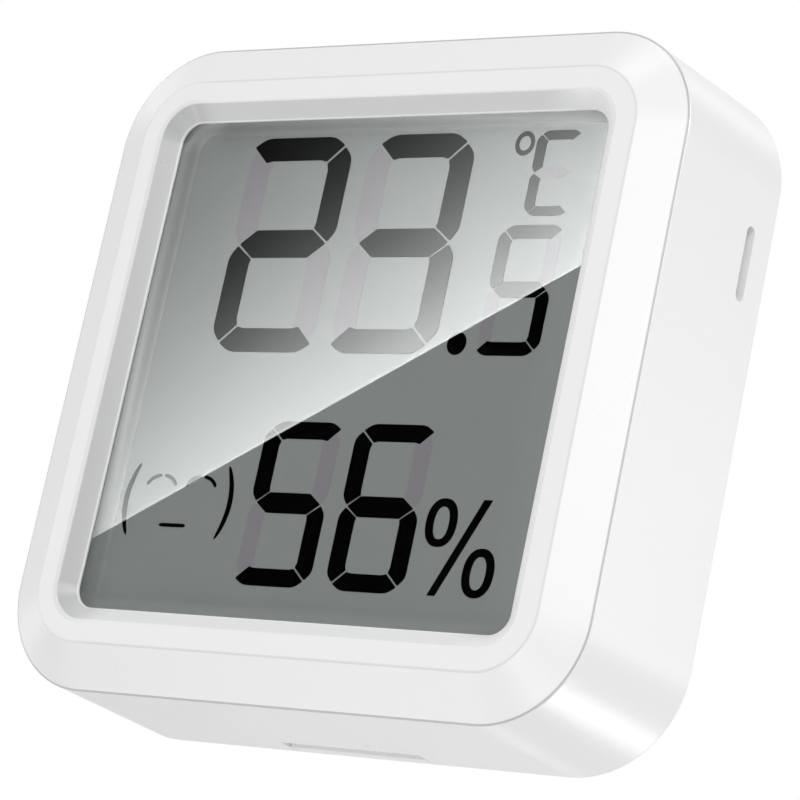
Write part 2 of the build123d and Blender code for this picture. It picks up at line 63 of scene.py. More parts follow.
class Shade:
    """A socket of a material. Arithmetic on shades adds Math nodes, and node adds any other."""

    def __init__(self, tree, socket=None):
        self.tree = tree
        self.socket = socket

    def node(self, kind, settings=None, values=None, output=0):
        """Adds a node, makes its settings, then fills its sockets, and gives one output."""
        made = self.tree.nodes.new(kind)
        for name, setting in (settings or {}).items():
            setattr(made, name, setting)
        for name, value in (values or {}).items():
            if isinstance(value, Shade):
                self.tree.links.new(value.socket, made.inputs[name])
            else:
                made.inputs[name].default_value = value
        return Shade(self.tree, made.outputs[output] if len(made.outputs) else None)

    def math(self, operation, *others):
        """The value taken through a Math node, with others after it."""
        values = dict(enumerate((self, *others)))
        return self.node("ShaderNodeMath", {"operation": operation}, values)

    def __add__(self, other):
        return self.math("ADD", other)

    def __sub__(self, other):
        return self.math("SUBTRACT", other)

    def __rsub__(self, other):
        return self.node("ShaderNodeMath", {"operation": "SUBTRACT"}, {0: other, 1: self})

    def __mul__(self, other):
        return self.math("MULTIPLY", other)

    def __truediv__(self, other):
        return self.math("DIVIDE", other)

    def __pow__(self, other):
        return self.math("POWER", other)

    __radd__ = __add__
    __rmul__ = __mul__

    def size(self):
        """The value without its sign."""
        return self.math("ABSOLUTE")

    def above(self, edge, blur):
        """Rises softly from 0 to 1 as the value passes an edge."""
        return self.node(
            "ShaderNodeMapRange",
            {"interpolation_type": "SMOOTHSTEP"},
            {"Value": self, "From Min": edge - blur, "From Max": edge + blur},
        )

    def below(self, edge, blur):
        """Falls softly from 1 to 0 as the value passes an edge."""
        return 1 - self.above(edge, blur)

    def noise(self, cell, detail=2.0, stretch=(1, 1, 1)):
        """Soft random field round 0.5 at a place, with cells of a size in metres."""
        scale = tuple(s / cell for s in stretch)
        spread = self.node("ShaderNodeMapping", {}, {"Vector": self, "Scale": scale})
        values = {"Vector": spread, "Scale": 1.0, "Detail": detail}
        return self.node("ShaderNodeTexNoise", {}, values, "Fac")

    def parts(self):
        """Across, depth and height of a place."""
        return [self.node("ShaderNodeSeparateXYZ", {}, {0: self}, axis) for axis in "XYZ"]

    def tone(self, low, high):
        """Colour between two, where the value runs from 0 to 1."""
        values = {0: self}
        for slot, colour in ((6, low), (7, high)):
            values[slot] = colour if isinstance(colour, Shade) else (*colour, 1)
        return self.node("ShaderNodeMix", {"data_type": "RGBA"}, values, 2)

    def relief(self, depth, under=None):
        """Bumped normal from a height, where 1 stands for a depth in metres."""
        values = {"Height": self, "Distance": depth, "Strength": 1.0}
        if under is not None:
            values["Normal"] = under
        return self.node("ShaderNodeBump", {}, values)

    def surface(self, **values):
        """Ends the material in a Principled shader with these sockets."""
        named = {name.replace("_", " "): value for name, value in values.items()}
        self.node("ShaderNodeBsdfPrincipled", {}, named).put_out()

    def put_out(self):
        """Ends the material in this shader."""
        self.node("ShaderNodeOutputMaterial", {}, {"Surface": self})


def new_material(name):
    """An empty material, and the place on the object that its pattern reads."""
    made = bpy.data.materials.new(name)
    made.use_nodes = True
    made.node_tree.nodes.clear()
    place = Shade(made.node_tree).node("ShaderNodeTexCoord", output="Object")
    return made, place


def dress(material, *nodes):
    """Gives CAD nodes a material."""
    for name in nodes:
        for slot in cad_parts[name].material_slots:
            slot.material = material


def from_middle(place):
    """How far a place lies across from the display's middle and above it, with its depth
    between the two."""
    across, depth, height = place.parts()
    return across - display_middle.x, depth, height - display_middle.z


def square_level(aside, up):
    """Half width of the rounded square, round the display's middle, on which a place lies:
    the corners' centres are fixed, so it is the larger of the two offsets from them on the
    sides, and the distance from the centre in a corner."""
    side = aside.size() - corner_centre
    rise = up.size() - corner_centre
    round_part = (side.math("MAXIMUM", 0) ** 2 + rise.math("MAXIMUM", 0) ** 2) ** 0.5
    flat_part = side.math("MAXIMUM", rise).math("MINIMUM", 0)
    return round_part + flat_part + corner_centre


def frame_shade_marks(place):
    """What the frame has over the plain moulding: a height, a factor on the roughness, and masks
    with their tones of painted light and shade. The height rounds the right side of the slope
    over towards the window, by the distance down the slope times a steepness that grows with it.
    The slope is polished at the top, and its colour is painted shade, darkest on the left and
    darker at the top, lighter at the bottom and on the right, with a band of painted shade beside
    it on the left. Its lip has a painted highlight on the right and painted shade on the left,
    and the rim's edge and the seam at the rear are painted shadow lines, darker on the right."""
    aside, depth, up = from_middle(place)
    level = square_level(aside, up)
    right = aside.above(-16.0 * mm, 2.2 * mm)
    corner = aside.above(14.8 * mm, 3.0 * mm)
    top = up.above(15.5 * mm, 2.5 * mm) * (1 - corner)
    bottom = up.below(-15.5 * mm, 2.5 * mm)
    # Painted shade on the slope, darkest on the left and darker at the top, and a band of painted
    # shade just beside it on the left.
    slope = level.below(slope_level, 0.05 * mm)
    shoulder_shade = level.below(slope_level + 0.3 * mm, 0.06 * mm) * (1 - right)
    # Painted shadow line along the rim's outer edge, stronger on the right.
    edge = (level - rim_level).size().below(0.08 * mm, 0.03 * mm) * (right * 0.7 + 0.3)
    # Painted shadow line in the seam at the rear of the frame, darker on the right.
    seam_shadow = depth.above(parting_depth - seam_width, 0.015 * mm)
    # Painted highlight on the lip's right side and painted shade on its left.
    lip_light_and_shade = level.below(lip_level, 0.02 * mm)
    # Tones of painted shade for the slope: darker at the top, lighter at the bottom and on the
    # right.
    slope_shade_tones = top.tone((0.97, 0.972, 0.975), (0.735, 0.737, 0.74))
    slope_shade_tones = bottom.tone(slope_shade_tones, (0.87, 0.872, 0.875))
    down_slope = (slope_level - level).math("MAXIMUM", 0).math("MINIMUM", slope_level - lip_level)
    steepness = 0.4 + down_slope * (0.34 / mm)
    rounding = down_slope * steepness * aside.above(15.5 * mm, 1.5 * mm)
    # The tones that the masks lay are painted shade and painted highlight.
    return rounding, 1 - 0.5 * slope * top, (
        (shoulder_shade, (0.77, 0.772, 0.775)),
        (slope, right.tone((0.485, 0.487, 0.49), slope_shade_tones)),
        (edge, (0.75, 0.752, 0.755)),
        (seam_shadow, right.tone((0.6, 0.602, 0.605), (0.5, 0.502, 0.505))),
        (lip_light_and_shade, right.tone((0.68, 0.69, 0.69), (0.92, 0.94, 0.94))),
    )


def housing_highlight_marks(place):
    """What the housing has over the plain moulding, as for the frame: no height, and a front
    edge made smoother, with a painted highlight where it meets the frame."""
    # Painted highlight along the housing's front edge, by the seam.
    edge = place.parts()[1].below(parting_depth + 0.13 * mm, 0.02 * mm)
    return 0.0, 1 - 0.5 * edge, ((edge, (0.97, 0.972, 0.975)),)


def white_abs(name, seed, shading_marks=None):
    """White ABS: two near whites in slow clouds, a fine grain that bumps it and breaks its gloss,
    and marks of painted light and shade over it where the piece has any. The seed shifts the
    grain, so that no two pieces have the same."""
    made, place = new_material(name)
    shifted = place.node("ShaderNodeVectorMath", {"operation": "ADD"}, {0: place, 1: seed})
    grain = shifted.noise(0.16 * mm, 3.0)
    pebble = shifted.noise(0.5 * mm, 1.0)
    cloud = shifted.noise(9 * mm, 2.0)
    colour = cloud.tone((0.86, 0.862, 0.865), (0.88, 0.88, 0.878))
    rough = 0.22 + 0.1 * grain + 0.06 * cloud
    height = (grain * 0.75 + pebble * 0.25) * grain_depth
    if shading_marks:
        rounding, roughening, painted_tones = shading_marks(place)
        height = height + rounding
        rough = rough * roughening
        # The masks lay tones of painted light and shade over the colour.
        for mask, tone in painted_tones:
            colour = mask.tone(colour, tone)
    place.surface(Base_Color=colour, Roughness=rough, Normal=(height / mm).relief(mm))
    return made


dress(white_abs("frame_white", (0.0, 0.0, 0.0), frame_shade_marks), "front_frame")
dress(white_abs("housing_white", (0.31, 0.17, 0.05), housing_highlight_marks), "rear_housing")
dress(white_abs("cover_white", (0.12, 0.43, 0.21)), "back_cover")


# Lens: a clear acrylic plate with polished faces, seated behind the lip of the frame. The two
# glasses of the display are made the same way, with the faint green of float glass.
def clear_plate(name, tint, index):
    """See-through plate: light passes straight, in slow clouds between a tint and none, and the
    front mirrors by its index."""
    made, place = new_material(name)
    haze = place.noise(3 * mm, 3.0)
    tinted = place.node("ShaderNodeBsdfTransparent", {}, {"Color": (*tint, 1)})
    plain = place.node("ShaderNodeBsdfTransparent", {}, {"Color": (1, 1, 1, 1)})
    through = place.node("ShaderNodeMixShader", {}, {0: haze, 1: tinted, 2: plain})
    mirror = place.node("ShaderNodeBsdfGlossy", {}, {"Color": (1, 1, 1, 1), "Roughness": 0.0})
    leaving = place.node("ShaderNodeNewGeometry", output="Backfacing")
    share = place.node("ShaderNodeFresnel", {}, {"IOR": index}) * (1 - leaving)
    place.node("ShaderNodeMixShader", {}, {0: share, 1: through, 2: mirror}).put_out()
    return made


dress(clear_plate("clear_acrylic", (0.985, 0.99, 0.988), 1.06), "window_lens")
dress(clear_plate("display_glass", (0.93, 0.98, 0.95), 1.52), "front_glass", "rear_glass")


# Front polariser: the grey film that shows as the display's field, glued to the front glass,
# with a polished hard coat over its fine grain. The coat mirrors a pale card with a slanted
# edge. The film's colour carries painted light along its edges and a painted reflection in a
# strip by the lip.
film_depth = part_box("front_polariser")[0].y
film_gloss = dict(Specular_IOR_Level=0.0, Coat_Roughness=0.0, Coat_IOR=1.65)
# The film lies behind the lens, so what is drawn for the window is moved and scaled there.
artwork_shift = np.array([-0.74, 0.32])
artwork_scale = 1.005
edge_slant, edge_drop, edge_blur = 0.561, 2.937, 0.04
sheen_slant, sheen_line = 0.7, 30.5
sheen_growth, sheen_least = 0.000465, 0.021
fade_start, fade_rate = -6.0, 0.014
mirror_tint = (0.975, 1.0, 0.997)


def window_sheen(aside, up):
    """What the display mirrors at a place on it in millimetres: how bright, by the square of the
    distance from a slanted line and fading at the left, and how far above the slanted edge it
    lies."""
    window_across = (aside - artwork_shift[0]) / artwork_scale
    window_up = (up - artwork_shift[1]) / artwork_scale
    over_edge = window_up - edge_slant * window_across + edge_drop
    below_line = sheen_line - (window_up - sheen_slant * window_across)
    far_left = (fade_start - window_across).math("MAXIMUM", 0)
    sheen = (sheen_growth * (below_line**2) + sheen_least) * (1 - fade_rate * far_left)
    return sheen, over_edge


film, place = new_material("display_field")
aside, depth, up = from_middle(place)
grain = place.noise(0.07 * mm, 2.0)
cloud = place.noise(6 * mm, 2.0)
field = (grain * 0.6 + cloud * 0.4).tone((0.222, 0.24, 0.234), (0.242, 0.26, 0.254))
sheen, over_edge = window_sheen(aside / mm, up / mm)
# Painted light lightens the field where the lip's shade falls: along its edges, more on the right,
# in a line along the top within the mirrored part, and in the top left corner.
edge_painted_light = square_level(aside + 0.45 * mm, up - 0.3 * mm).above(17.3 * mm, 0.95 * mm)
right_painted_light = aside.above(16.3 * mm, 2.2 * mm)
top_painted_light = (up - 16.9 * mm).size().below(0.12 * mm, 0.2 * mm) * over_edge.above(0.0, edge_blur)
corner_painted_light = up.above(16.25 * mm, 1.0 * mm) * aside.below(-15.4 * mm, 1.3 * mm)
for mask, tone in (
    (edge_painted_light, (0.44, 0.475, 0.46)),
    (right_painted_light, (0.325, 0.351, 0.342)),
    (top_painted_light, (0.305, 0.323, 0.317)),
    (corner_painted_light, (0.305, 0.329, 0.321)),
):
    field = mask.tone(field, tone)
# Along the left and the top the lip hides the card from the mirror. In that strip the film's
# colour is a painted reflection, as bright as the mirror beside it, with painted light that
# takes out the shadow of the lip.
hidden = square_level(aside - 0.88 * mm, up + 0.43 * mm).above(17.39 * mm, 0.03 * mm)
hidden = hidden * over_edge.above(0.0, edge_blur)
shadow = square_level(aside, up).above(17.6 * mm, 0.75 * mm)
open_left = aside.below(-15.0 * mm, 1.5 * mm) * (1 - shadow)
inner_left = open_left * aside.above(-17.1 * mm, 0.35 * mm)
# The strip's painted reflection, lifted by painted light near the lip and in the top left corner.
strip = (0.27 + 1.8 * sheen) * (1 + 1.5 * shadow) * (1 - 0.2 * open_left) * (1 + 0.75 * corner_painted_light)
strip = (strip + 0.045 * inner_left).math("MINIMUM", 0.97 - 0.15 * open_left)
place.surface(
    Base_Color=hidden.tone(field, strip.tone((0.0, 0.0, 0.0), mirror_tint)),
    Roughness=0.5 + 0.15 * grain,
    Normal=grain.relief(0.002 * mm),
    Coat_Weight=1.0,
    **film_gloss,
)
dress(film, "front_polariser")


# Display segments: bars of liquid crystal between the glasses, dark where driven and faintly
# mauve at rest. Here they are thin plates on the polariser, which hides what is behind it.
# Their sizes are in millimetres from the middle of the window.
lit_lift = 0.02
idle_lift = 0.01
big_bars = dict(bottom=0.8, middle=8.43, top=16.05, wide=1.72, tall=1.6)
lower_bars = dict(bottom=-15.15, middle=-9.56, top=-4.03, wide=1.28, tall=1.13)
small_bars = dict(bottom=0.75, middle=5.18, top=9.55, wide=0.95, tall=0.88)
unit_bars = dict(bottom=10.2, middle=13.15, top=16.05, wide=0.75, tall=0.62)


def eased(corners, setbacks, steps=7):
    """Closed outline through a polygon with eased corners: between points set back from corner p
    to a and b along its sides runs the curve (1-t)(1-t) a + 2t(1-t) p + t t b."""
    corner = np.asarray(corners, float)
    setback = np.asarray(setbacks, float)[:, None]
    before = np.roll(corner, 1, 0) - corner
    after = np.roll(corner, -1, 0) - corner
    a = corner + before * np.minimum(setback / np.linalg.norm(before, axis=1, keepdims=True), 0.49)
    b = corner + after * np.minimum(setback / np.linalg.norm(after, axis=1, keepdims=True), 0.49)
    t = np.linspace(0, 1, steps)[None, :, None]
    curve = (1 - t) ** 2 * a[:, None] + 2 * t * (1 - t) * corner[:, None] + t**2 * b[:, None]
    return curve.reshape(-1, 2)


def winding(outline):
    """Twice the area inside a closed outline, below 0 where it runs clockwise."""
    across, up = outline.T
    return np.sum(across * np.roll(up, -1) - np.roll(across, -1) * up)


def grown(outline, margin):
    """The closed outline moved outwards by a margin, square to the line between its neighbours."""
    along = np.roll(outline, -1, 0) - np.roll(outline, 1, 0)
    along /= np.linalg.norm(along, axis=1, keepdims=True)
    outwards = np.stack([along[:, 1], -along[:, 0]], 1)
    return outline + outwards * margin * np.sign(winding(outline))


def digit_bars(left, right, bottom, middle, top, wide, tall, reach=""):
    """Outlines of a digit's seven bars by letter. One level bar and one upright bar are laid out
    from the digit's corner in shares of the bars' thickness, and mirrored into the other places.
    A reaching end, such as a> for the right end of bar a, runs on towards the digit's side."""
    level_end = np.array([(0.47, 0.37), (0.98, 0), (1.44, 1), (1.18, 1.08)])
    upright_top = np.array([(1.09, 1.19), (0.38, 0.49), (0, 0.92)])
    upright_end = np.array([(0, 0.57), (0.31, 0.11), (1.06, 0.69), (1, 0.85)])
    upright_inner = np.array([(1, 1.45)])
    fine, bend, run_on = 0.05 * wide, 0.32 * wide, 0.38 * wide
    bars = {}
    for letter, edge, down in (("a", top, -1), ("d", bottom, 1)):
        ends = []
        for mark, side, inward in ("<", left, 1), (">", right, -1):
            tip = side - inward * (run_on if letter + mark in reach else 0)
            ends.append((tip, edge) + level_end * (inward * wide, down * tall))
        (l_tip, l_top, l_low, l_in), (r_tip, r_top, r_low, r_in) = ends
        corners = [l_tip, l_top, r_top, r_tip, r_in, r_low, l_low, l_in]
        bars[letter] = eased(corners, [fine, bend, bend, fine, fine, fine, fine, fine])
    for letter, side, inward, edge, down in (
        ("b", right, -1, top, -1),
        ("f", left, 1, top, -1),
        ("c", right, -1, bottom, 1),
        ("e", left, 1, bottom, 1),
    ):
        upper = (side, edge) + upright_top * (inward * wide, down * tall)
        lower = (side, middle) + upright_end * (inward * wide, -down * tall)
        inner = (side, edge) + upright_inner * (inward * wide, down * tall)
        setbacks = [fine, fine, 0.36 * tall, 0.25 * tall, fine, fine, fine, fine]
        bars[letter] = eased(np.concatenate([upper, lower, inner]), setbacks)
    half = 0.595 * tall
    bar_left, bar_right = left + 1.1 * wide, right - 1.12 * wide
    corners = [
        (left + 0.4 * wide, middle),
        (bar_left, middle + half),
        (bar_right, middle + half),
        (right - 0.4 * wide, middle),
        (bar_right, middle - half),
        (bar_left, middle - half),
    ]
    bars["g"] = eased(corners, [fine] * 6)
    return {letter: grown(outline, 0.022 * wide) for letter, outline in bars.items()}


def oval(middle, half, squareness, steps=64):
    """Closed oval: powers of cosine and sine, the smaller the squarer, times the half sizes."""
    angle = np.linspace(0, 2 * np.pi, steps, endpoint=False)
    cosine, sine = np.cos(angle), np.sin(angle)
    power = 2 / squareness
    across = np.sign(cosine) * np.abs(cosine) ** power * half[0]
    up = np.sign(sine) * np.abs(sine) ** power * half[1]
    return np.stack([across, up], 1) + middle


def pen_line(points, half_width):
    """The two edges of a line drawn along points: the points moved by the half width along the
    line's normal to either side."""
    along = np.gradient(points, axis=0)
    normal = np.stack([-along[:, 1], along[:, 0]], 1) / np.linalg.norm(along, axis=1, keepdims=True)
    reach = normal * np.broadcast_to(half_width, len(points))[:, None]
    return points + reach, points - reach


def plate(outline, lift):
    """Thin plate: the outline at the front and at the film, a wall between, and a fan from the
    mean point on both faces. Gives points and arrays of faces."""
    outline = outline if winding(outline) > 0 else outline[::-1]
    count = len(outline)
    flat = np.concatenate([outline, outline.mean(0)[None]])
    points = np.concatenate([np.insert(flat, 1, -lift, 1), np.insert(flat, 1, 0, 1)])
    here = np.arange(count)
    following = np.roll(here, -1)
    middle = np.full(count, count)
    rear = count + 1
    fan = np.stack([middle, here, following], 1)
    back_fan = np.stack([middle, following, here], 1) + rear
    wall = np.stack([here, here + rear, following + rear, following], 1)
    return points, [fan, back_fan, wall]


def ribbon(left, right, lift, closed):
    """Thin band between two edges: four points at each station, left and right, at the front and
    at the film, joined to the next station's by quads. Gives points and arrays of faces."""
    stations = [(left, -lift), (right, -lift), (right, 0), (left, 0)]
    ring = np.stack([np.insert(edge, 1, depth, 1) for edge, depth in stations], 1)
    count = len(left)
    start = 4 * np.arange(count if closed else count - 1)[:, None]
    following = (start + 4) % (4 * count)
    corner = np.arange(4)[None]
    beside = (corner + 1) % 4
    quads = np.stack([start + corner, start + beside, following + beside, following + corner], 2)
    faces = [quads.reshape(-1, 4)]
    if not closed:
        faces += [corner[:, [0, 3, 2, 1]], corner + 4 * (count - 1)]
    return ring.reshape(-1, 3), faces


def piece(name, forms, material, origin):
    """One mesh from several forms in millimetres, set at an origin and shown in a material."""
    faces, start = [], 0
    for points, face_arrays in forms:
        for face_array in face_arrays:
            faces += (face_array + start).tolist()
        start += len(points)
    mesh = bpy.data.meshes.new(name)
    places = np.concatenate([points for points, face_arrays in forms]) * mm + origin
    mesh.from_pydata(places.tolist(), [], faces)
    mesh.materials.append(material)
    made = bpy.data.objects.new(name, mesh)
    bpy.context.scene.collection.objects.link(made)
    return made


# Each digit's bars, with the letters of those that are driven and of those at rest.
readings = [
    (digit_bars(-10.95, -2.5, reach="a< d>", **big_bars), "abged", "fc"),
    (digit_bars(-1.0, 7.42, reach="d<", **big_bars), "abgcd", "fe"),
    (digit_bars(10.7, 15.45, reach="a> d<", **small_bars), "afgcd", "be"),
    (digit_bars(12.15, 15.41, reach="a> d>", **unit_bars), "afed", "g"),
    (digit_bars(-4.55, 1.57, reach="a> d<", **lower_bars), "afgcd", "be"),
    (digit_bars(2.8, 8.93, reach="a>", **lower_bars), "afgecd", "b"),
]
lit = [bars[letter] for bars, driven, resting in readings for letter in driven]
idle = [bars[letter] for bars, driven, resting in readings for letter in resting]

# The decimal point and the stroke of the percent sign, then the ring of the degree sign and
# the two rings of the percent sign.
lit.append(oval((9.13, 1.53), (0.74, 0.78), 2))
lit.append(np.array([(13.72, -8.78), (10.8, -15.12), (11.42, -15.12), (14.37, -8.78)]))
loops = [
    (oval((11.22, 15.22), (0.74, 0.85), 2), oval((11.22, 15.22), (0.44, 0.51), 2)),
    (oval((10.82, -10.37), (1.19, 1.6), 2.25), oval((10.82, -10.39), (0.57, 1.07), 2.3)),
    (oval((14.33, -13.52), (1.18, 1.6), 2.25), oval((14.33, -13.53), (0.56, 1.07), 2.3)),
]

# The comfort face: a bowed line at each side, two curved lines for each eye, and a mouth. The
# lines are drawn with blunt ends.
stations = 33
sweep = np.linspace(-1, 1, stations)
bow = sweep**2
face_sides = [
    np.stack([-15.1 + 0.65 * bow, -9.72 + 2.52 * sweep], 1),
    np.stack([-6.28 - 0.67 * bow, -9.72 + 2.52 * sweep], 1),
]
blunt = np.sqrt(np.clip(1 - np.abs(sweep) ** 9, 0.04, 1))
lines = [pen_line(side, (0.2 - 0.08 * bow) * blunt) for side in face_sides]
for eye in (-12.35, -8.98):
    for first, last in ((165, 95), (85, 15)):
        angle = np.radians(np.linspace(first, last, stations))
        lid = np.stack([eye + 1.26 * np.cos(angle), -8.93 + 0.93 * np.sin(angle)], 1)
        lines.append(pen_line(lid, 0.12 * blunt))
mouth = np.stack([-10.7 + 1.12 * sweep, np.full(stations, -11.42)], 1)
lines.append(pen_line(mouth, 0.13 * blunt))


def on_film(outline):
    """Moves an outline that is drawn for the window to its place on the film."""
    return outline * artwork_scale + artwork_shift


film_origin = (display_middle.x, film_depth, display_middle.z)
driven_ink, place = new_material("driven_crystal")
grid = place.noise(0.05 * mm, 1.0)
aside, depth, up = from_middle(place)
sheen, over_edge = window_sheen(aside / mm, up / mm)
place.surface(
    Base_Color=grid.tone((0.0003, 0.0003, 0.0003), (0.001, 0.001, 0.001)),
    Roughness=0.55 + 0.1 * grid,
    Coat_Weight=(1.92 * sheen).math("MINIMUM", 1.0),
    **film_gloss,
)

forms = [plate(on_film(outline), lit_lift) for outline in lit]
forms += [ribbon(on_film(inner), on_film(outer), lit_lift, True) for outer, inner in loops]
forms += [ribbon(on_film(left), on_film(right), lit_lift, False) for left, right in lines]
lit_segments = piece("lit_segments", forms, driven_ink, film_origin)
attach(lit_segments, "case")

resting_ink, place = new_material("resting_crystal")
grid = place.noise(0.05 * mm, 1.0)
ghost = grid.tone((0.218, 0.203, 0.222), (0.231, 0.216, 0.236))
place.surface(Base_Color=ghost, Roughness=0.5 + 0.1 * grid, Coat_Weight=1.0, **film_gloss)
forms = [plate(on_film(outline), idle_lift) for outline in idle]
idle_segments = piece("idle_segments", forms, resting_ink, film_origin)
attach(idle_segments, "case")


# Rear reflector: a polyester film with a pearly layer of aluminium, glued behind the rear
# glass. It throws light back through the display, and its rolling leaves fine streaks.
pearl, place = new_material("pearl_film")
streak = place.noise(0.3 * mm, 3.0, stretch=(1, 1, 0.06))
place.surface(
    Base_Color=streak.tone((0.62, 0.64, 0.66), (0.78, 0.79, 0.8)),
    Metallic=0.7,
    Roughness=0.25 + 0.2 * streak,
    Normal=streak.relief(0.002 * mm),
)
dress(pearl, "rear_reflector")


# Display carrier and unit button: ABS moulded in light greys with a satin grain. The carrier
# holds the display against the lens, and the button slides in the housing under the cover.
def satin_plastic(name, dark, light, cell):
    """Moulded plastic: two close tones in slow clouds, with a fine grain in bump and gloss."""
    made, place = new_material(name)
    grain = place.noise(cell, 3.0)
    cloud = place.noise(30 * cell, 2.0)
    place.surface(
        Base_Color=(grain * 0.4 + cloud * 0.6).tone(dark, light),
        Roughness=0.42 + 0.2 * grain,
        Normal=grain.relief(0.005 * mm),
    )
    return made


carrier_grey = satin_plastic("carrier_grey", (0.56, 0.57, 0.58), (0.66, 0.67, 0.68), 0.15 * mm)
button_grey = satin_plastic("button_grey", (0.42, 0.44, 0.46), (0.5, 0.52, 0.54), 0.12 * mm)
dress(carrier_grey, "display_carrier")
dress(button_grey, "unit_button")


# Contact strip: silicone rubber in thin layers, carbon-black ones that conduct between cream
# ones that do not, pressed between the glass's ledge and the board.
layer_pitch = 0.18 * mm
rubber, place = new_material("layered_rubber")
layers = (place.parts()[0] * (2 * np.pi / layer_pitch)).math("SINE").above(0.0, 0.25)
wobble = place.noise(0.1 * mm, 2.0)
place.surface(
    Base_Color=layers.tone((0.03, 0.03, 0.032), (0.62, 0.5, 0.36)),
    Roughness=0.6 + 0.2 * wobble,
    Normal=(layers * 0.4 + wobble * 0.6).relief(0.01 * mm),
)
dress(rubber, "contact_strip")


# Main board and sensor board: glass-fibre boards under green solder mask. Copper tracks run
# below the mask and stand up a little.
def woven(place, cell, draw):
    """Mean of two noises, one drawn out upwards and one across."""
    upright = place.noise(cell, 1.0, stretch=(1, 1, draw))
    level = place.noise(cell, 1.0, stretch=(draw, 1, 1))
    return upright * 0.5 + level * 0.5


def board_green(name, turned):
    """Green mask over tracks: a brick pattern's joints are the tracks, lighter and raised, and
    the glass weave shows faintly between them. A board that stands at right angles to the
    display has its pattern turned."""
    made, place = new_material(name)
    turn = (radians(90), 0, radians(90)) if turned else (radians(90), 0, 0)
    flat = place.node("ShaderNodeMapping", {}, {"Vector": place, "Rotation": turn})
    joints = flat.node(
        "ShaderNodeTexBrick",
        {"offset": 0.37, "squash": 0.6, "squash_frequency": 3},
        {
            "Vector": flat,
            "Scale": 1 / (1.6 * mm),
            "Mortar Size": 0.08,
            "Mortar Smooth": 0.3,
            "Brick Width": 1.9,
            "Row Height": 0.42,
        },
        "Fac",
    )
    weave = woven(place, 0.25 * mm, 0.1)
    mask = weave.tone((0.012, 0.12, 0.045), (0.02, 0.17, 0.065))
    place.surface(
        Base_Color=joints.tone(mask, (0.045, 0.27, 0.1)),
        Roughness=0.28 + 0.15 * weave,
        Normal=(joints * 0.7 + weave * 0.3).relief(0.02 * mm),
    )
    return made


dress(board_green("main_board_green", False), "main_board")
dress(board_green("sensor_board_green", True), "sensor_board")


# Chips: black moulded epoxy with a faint speckle. The controller, the sensor, the three
# resistors and the plunger of the switch share it, each with its own grain.
def black_epoxy(name, cell, tinned=None):
    """Matt black with pale specks. Where tinned gives an axis, a middle and a half length, the
    ends beyond it are bright solder."""
    made, place = new_material(name)
    grain = place.noise(cell, 3.0)
    specks = place.noise(0.4 * cell, 1.0).above(0.68, 0.05)
    colour = (grain * 0.6 + specks * 0.4).tone((0.012, 0.012, 0.013), (0.06, 0.06, 0.063))
    values = {"Roughness": 0.5 + 0.25 * grain, "Normal": grain.relief(0.006 * mm)}
    if tinned:
        axis, middle, half = tinned
        ends = (place.parts()[axis] - middle).size().above(half, 0.02 * mm)
        colour = ends.tone(colour, (0.66, 0.66, 0.67))
        values["Metallic"] = ends
        values["Roughness"] = 0.5 - 0.2 * ends + 0.2 * grain
    place.surface(Base_Color=colour, **values)
    return made


chip_part_end = 0.5 * mm
resistor_ends = (2, middle_of("chip_resistors").z, chip_part_end)
dress(black_epoxy("controller_black", 0.12 * mm), "controller_chip")
dress(black_epoxy("sensor_black", 0.1 * mm), "climate_sensor")
dress(black_epoxy("plunger_black", 0.2 * mm), "switch_plunger")
dress(black_epoxy("resistor_black", 0.1 * mm, resistor_ends), "chip_resistors")


# Chip capacitors: tan fired ceramic with tinned ends, four in a row above the resistors. They
# are soldered to the main board by their ends.
ceramic, place = new_material("tan_ceramic")
grain = place.noise(0.08 * mm, 3.0)
from_row = (place.parts()[2] - middle_of("chip_capacitors").z).size()
ends = from_row.above(chip_part_end, 0.02 * mm)
body = grain.tone((0.42, 0.27, 0.15), (0.55, 0.37, 0.22))
place.surface(
    Base_Color=ends.tone(body, (0.68, 0.68, 0.68)),
    Metallic=ends,
    Roughness=0.55 - 0.25 * ends + 0.15 * grain,
    Normal=grain.relief(0.008 * mm),
)
dress(ceramic, "chip_capacitors")


# Bright metal: rolled and plated sheet for the crystal's can, the frame of the switch and the
# pins. The rolling leaves streaks one way.
def rolled_metal(name, dark, light, cell, stretch, rough):
    """Metal with streaks: a noise drawn out along one axis varies tone, gloss and height."""
    made, place = new_material(name)
    streak = place.noise(cell, 3.0, stretch=stretch)
    stain = place.noise(2 * mm, 2.0)
    place.surface(
        Base_Color=(streak * 0.6 + stain * 0.4).tone(dark, light),
        Metallic=1.0,
        Roughness=rough + 0.15 * streak + 0.08 * stain,
        Normal=streak.relief(0.002 * mm),
    )
    return made


nickel = (0.56, 0.55, 0.52), (0.74, 0.73, 0.7)
tin = (0.62, 0.6, 0.55), (0.8, 0.79, 0.76)
dress(rolled_metal("crystal_can", *nickel, 0.1 * mm, (0.08, 1, 1), 0.18), "timing_crystal")
dress(rolled_metal("switch_frame", *nickel, 0.12 * mm, (1, 1, 0.1), 0.24), "switch_body")
dress(rolled_metal("tinned_pins", *tin, 0.1 * mm, (0.1, 1, 1), 0.2), "sensor_pins")


# Contacts: two strips of thin spring steel, nickel plated, stamped and bent so that they press
# on the cell. They are soldered to the main board.
spring = (0.5, 0.49, 0.46), (0.7, 0.69, 0.66)
spring_steel = rolled_metal("spring_steel", *spring, 0.1 * mm, (1, 1, 0.06), 0.22)
dress(spring_steel, "negative_contact", "positive_contact")


